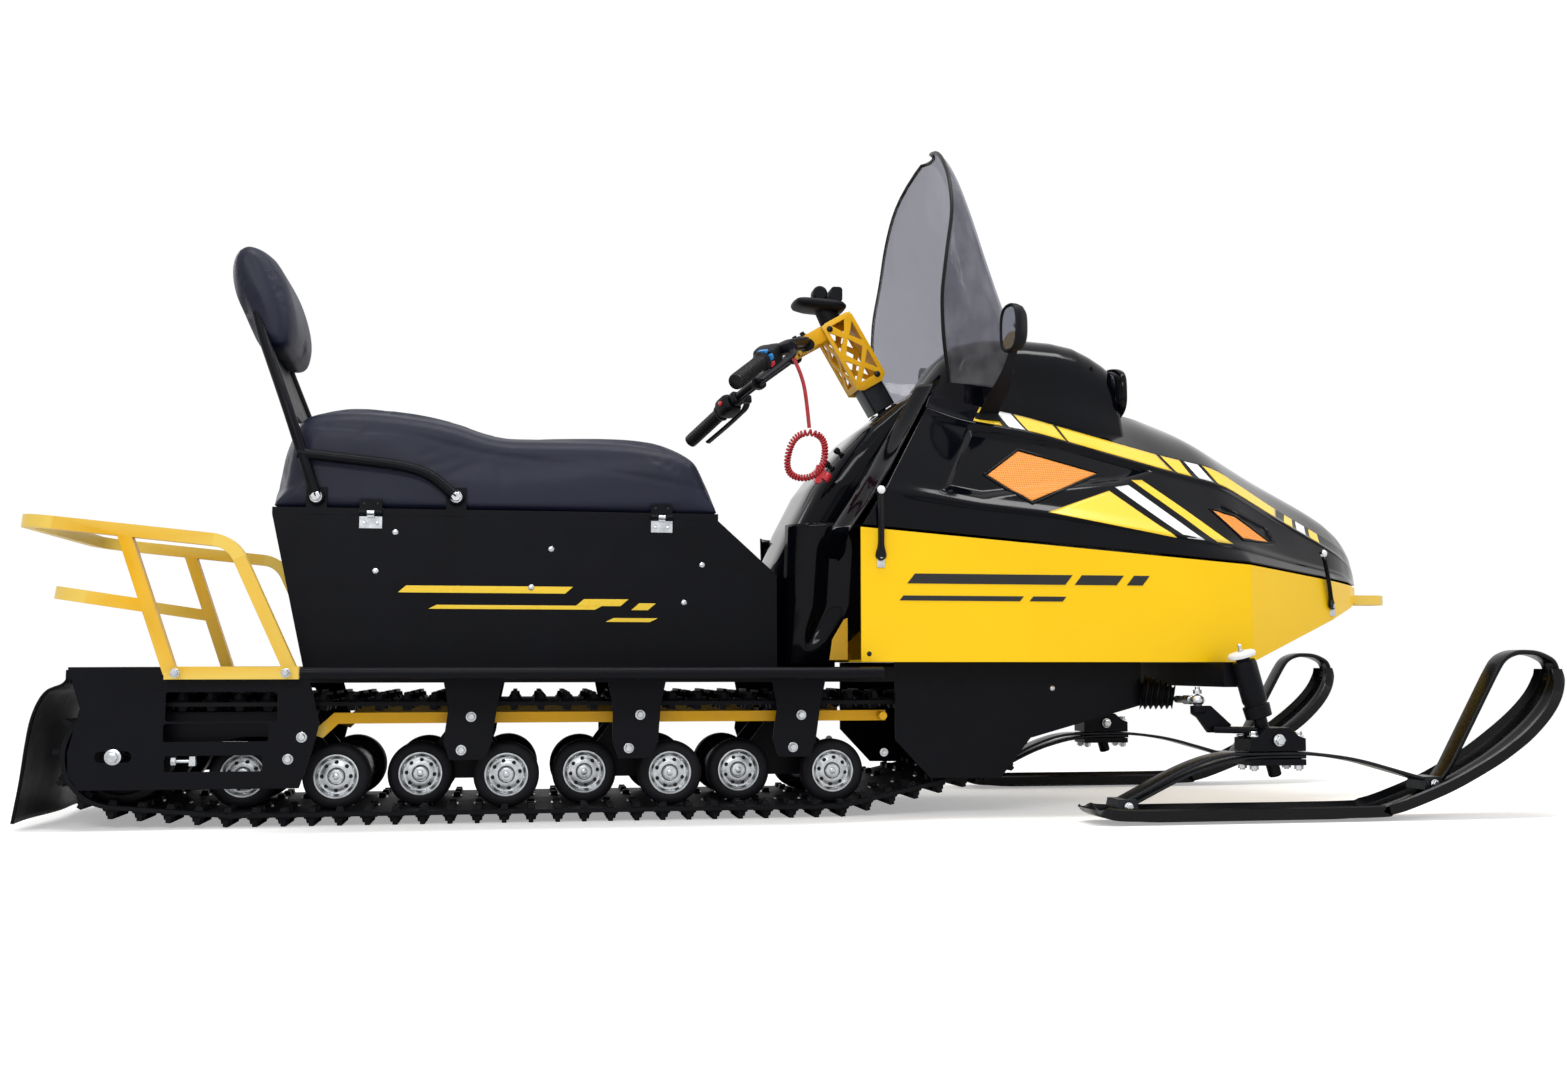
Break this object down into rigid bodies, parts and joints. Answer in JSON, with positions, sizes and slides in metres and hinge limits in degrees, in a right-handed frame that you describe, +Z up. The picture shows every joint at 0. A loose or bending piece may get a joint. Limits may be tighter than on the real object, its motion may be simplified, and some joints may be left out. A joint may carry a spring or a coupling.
{
  "type": "snowmobile",
  "caption": "Single-track snowmobile with two steered skis, bench seat with backrest over a storage box, lift-off hood with windshield and a rear rack.",
  "frame": {"origin": "on the floor under the middle of the overall length and width", "axes": "+X forwards, +Y to the rider's left, +Z up"},
  "size_m": [3.0721, 1.024, 1.462],
  "materials": {
    "black_powder": "satin black powder coat",
    "yellow_powder": "semi-gloss yellow powder coat",
    "yellow_panel": "gloss yellow panel",
    "black_gloss": "gloss black moulded panel",
    "black_plastic": "grained black plastic",
    "ski_plastic": "moulded black ski plastic",
    "tyre_rubber": "rubber tyre",
    "track_rubber": "moulded track rubber",
    "strap_rubber": "soft rubber",
    "zinc_steel": "zinc plated steel",
    "spring_steel": "painted spring steel",
    "cast_metal": "cast metal",
    "seat_vinyl": "dark blue-black vinyl",
    "clear_lens": "clear lens",
    "smoked_screen": "smoked screen",
    "mirror_glass": "mirror",
    "red_cord": "red cord"
  },
  "bodies": {
    "frame": {"tunnel_deck": "black_powder", "side_plates": "black_powder", "running_boards": "black_powder", "slide_rails": "yellow_powder", "bogie_rockers": "black_powder", "bogie_tyres": "tyre_rubber", "bogie_hubs": "zinc_steel", "idler_wheels": "black_plastic", "drive_shaft": "black_plastic", "track": "track_rubber", "seat_box": "black_powder", "hinge_fixed": "zinc_steel", "rear_rack": "yellow_powder", "snow_flap": "track_rubber", "belly_pan": "black_powder", "lower_cowl": "yellow_panel", "console": "black_gloss", "leg_shields": "black_gloss", "engine_block": "cast_metal", "tow_bumper": "yellow_powder", "front_beam": "black_powder"},
    "seat": {"seat_base": "black_plastic", "hinge_turning": "zinc_steel", "seat_cushion": "seat_vinyl", "backrest_frame": "black_powder", "backrest_pad": "seat_vinyl"},
    "hood": {"hood": "black_gloss", "headlight_pod": "black_gloss", "headlight_lens": "clear_lens", "windshield": "smoked_screen", "mirrors": "black_plastic", "mirror_glasses": "mirror_glass", "hood_latches": "strap_rubber"},
    "steering": {"steering_column": "black_powder", "riser": "yellow_powder", "handlebar": "black_powder", "grips": "strap_rubber", "switch_housings": "black_plastic", "bar_pod": "black_plastic", "tether_strap": "red_cord", "tether_loop": "red_cord", "tether_clip": "black_plastic"},
    "ski_body_right": {"ski_right": "ski_plastic", "leaf_spring_right": "spring_steel", "spindle_right": "black_powder"},
    "ski_body_left": {"ski_left": "ski_plastic", "leaf_spring_left": "spring_steel", "spindle_left": "black_powder"},
    "rod_body_right": {"tie_rod_right": "zinc_steel"},
    "rod_body_left": {"tie_rod_left": "zinc_steel"}
  },
  "joints": [
    {"name": "seat_tilt", "type": "hinge", "parent": "frame", "child": "seat", "pos_m": [-0.6, -0.196, 0.61], "axis": [1, 0, 0], "range_deg": [0, 45]},
    {"name": "hood_lift", "type": "slide", "parent": "frame", "child": "hood", "axis": [0.5736, 0, 0.8192], "range_m": [0, 0.35]},
    {"name": "steering_turn", "type": "hinge", "parent": "frame", "child": "steering", "pos_m": [0.168, 0, 0.908], "axis": [-0.503, 0, 0.8643], "range_deg": [-18, 18]},
    {"name": "ski_turn_right", "type": "hinge", "parent": "frame", "child": "ski_body_right", "pos_m": [0.816, -0.45, 0.324], "axis": [-0.2639, 0, 0.9646], "range_deg": [-18, 18]},
    {"name": "ski_turn_left", "type": "hinge", "parent": "frame", "child": "ski_body_left", "pos_m": [0.816, 0.45, 0.324], "axis": [-0.2639, 0, 0.9646], "range_deg": [-18, 18]},
    {"name": "rod_turn_right", "type": "hinge", "parent": "ski_body_right", "child": "rod_body_right", "pos_m": [0.742, -0.4, 0.237], "axis": [0, 0, 1], "range_deg": [-18, 18]},
    {"name": "rod_turn_left", "type": "hinge", "parent": "ski_body_left", "child": "rod_body_left", "pos_m": [0.742, 0.4, 0.237], "axis": [0, 0, 1], "range_deg": [-18, 18]}
  ],
  "couplings": [
    {"joint": "ski_turn_right", "follows": "steering_turn", "ratio": 1},
    {"joint": "ski_turn_left", "follows": "steering_turn", "ratio": 1},
    {"joint": "rod_turn_right", "follows": "steering_turn", "ratio": -1},
    {"joint": "rod_turn_left", "follows": "steering_turn", "ratio": -1}
  ]
}
